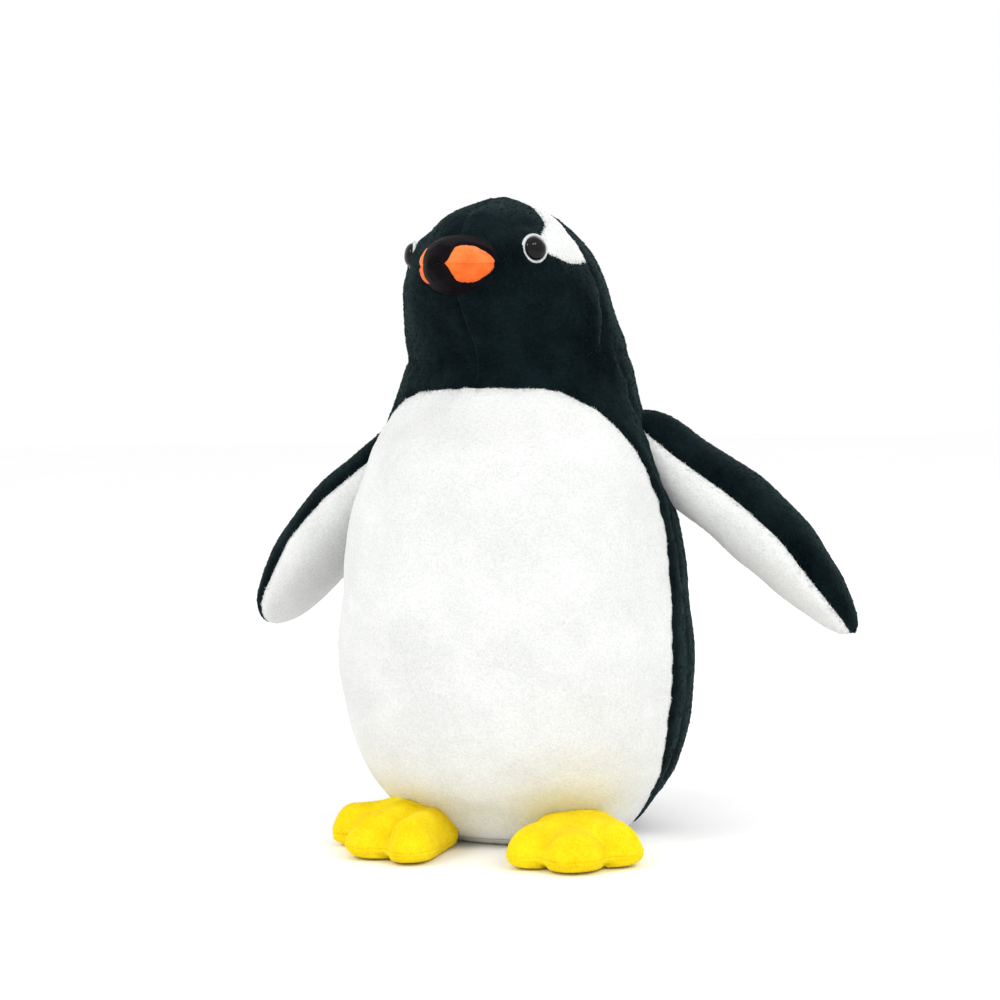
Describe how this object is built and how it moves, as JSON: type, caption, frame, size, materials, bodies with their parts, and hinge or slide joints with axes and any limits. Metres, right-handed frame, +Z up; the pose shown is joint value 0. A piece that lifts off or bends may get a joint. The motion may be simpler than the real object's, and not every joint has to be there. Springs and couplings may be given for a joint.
{
  "type": "plush penguin",
  "caption": "Standing plush penguin with a white belly, dark hood and back, white eye patches, orange-sided beak, soft flippers and yellow three-toed feet.",
  "frame": {"origin": "middle of the flat base panel, on the surface that the toy stands on", "axes": "+Z up, -Y the way the penguin faces, +X the penguin's left"},
  "size_m": [0.2748, 0.161, 0.267],
  "materials": {
    "black_plush": "short soft pile",
    "white_plush": "short soft pile",
    "yellow_plush": "short soft pile",
    "orange_satin": "smooth woven, faint sheen",
    "black_satin": "smooth woven, faint sheen",
    "stuffing": "loose polyester fibre",
    "lining": "thin plain weave",
    "pellets": "small round grains",
    "black_eye": "polished dome",
    "silver_ring": "silver-grey bright rim",
    "washer_plastic": "moulded"
  },
  "bodies": {
    "torso": {"torso_stuffing": "stuffing", "pellet_pouch": "lining", "pellet_fill": "pellets", "base_panel": "white_plush", "left_belly_panel": "white_plush", "left_chest_panel": "black_plush", "left_back_panel": "black_plush", "right_belly_panel": "white_plush", "right_chest_panel": "black_plush", "right_back_panel": "black_plush"},
    "head": {"head_stuffing": "stuffing", "beak_stuffing": "stuffing", "beak_top": "black_satin", "beak_bottom": "black_satin", "left_face_panel": "black_plush", "left_back_head_panel": "black_plush", "left_eye_patch": "white_plush", "left_eye": "black_eye", "left_eye_ring": "silver_ring", "left_eye_washer": "washer_plastic", "left_beak_side_upper": "orange_satin", "left_beak_side_lower": "orange_satin", "right_face_panel": "black_plush", "right_back_head_panel": "black_plush", "right_eye_patch": "white_plush", "right_eye": "black_eye", "right_eye_ring": "silver_ring", "right_eye_washer": "washer_plastic", "right_beak_side_upper": "orange_satin", "right_beak_side_lower": "orange_satin"},
    "tail": {"tail_stuffing": "stuffing", "tail_upper_panel": "black_plush", "tail_lower_panel": "black_plush"},
    "left_flipper": {"left_flipper_outer_panel": "black_plush", "left_flipper_inner_panel": "white_plush", "left_flipper_stuffing": "stuffing"},
    "left_foot": {"left_foot_top_panel": "yellow_plush", "left_foot_sole_panel": "yellow_plush", "left_foot_stuffing": "stuffing"},
    "right_flipper": {"right_flipper_outer_panel": "black_plush", "right_flipper_inner_panel": "white_plush", "right_flipper_stuffing": "stuffing"},
    "right_foot": {"right_foot_top_panel": "yellow_plush", "right_foot_sole_panel": "yellow_plush", "right_foot_stuffing": "stuffing"}
  },
  "joints": [
    {"name": "head_turn", "type": "hinge", "parent": "torso", "child": "head", "pos_m": [0, 0.002, 0.198], "axis": [0, 0, 1], "range_deg": [-15, 15], "stiffness_Nm_per_rad": 0.5},
    {"name": "left_flipper_flap", "type": "hinge", "parent": "torso", "child": "left_flipper", "pos_m": [0.0615, 0.013, 0.157], "axis": [0.2881, -0.9306, 0.2259], "range_deg": [-6, 45], "stiffness_Nm_per_rad": 0.25},
    {"name": "right_flipper_flap", "type": "hinge", "parent": "torso", "child": "right_flipper", "pos_m": [-0.0615, 0.013, 0.157], "axis": [0.2881, 0.9306, -0.2259], "range_deg": [-6, 45], "stiffness_Nm_per_rad": 0.25},
    {"name": "left_foot_flex", "type": "hinge", "parent": "torso", "child": "left_foot", "pos_m": [0.033, -0.033, 0.0025], "axis": [-0.9397, -0.342, 0], "range_deg": [0, 5], "stiffness_Nm_per_rad": 0.3},
    {"name": "right_foot_flex", "type": "hinge", "parent": "torso", "child": "right_foot", "pos_m": [-0.0206, -0.033, 0.0025], "axis": [-0.9397, 0.342, 0], "range_deg": [0, 5], "stiffness_Nm_per_rad": 0.3},
    {"name": "tail_flex", "type": "hinge", "parent": "torso", "child": "tail", "pos_m": [0, 0.054, 0.033], "axis": [1, 0, 0], "range_deg": [-6, 8], "stiffness_Nm_per_rad": 0.2}
  ]
}
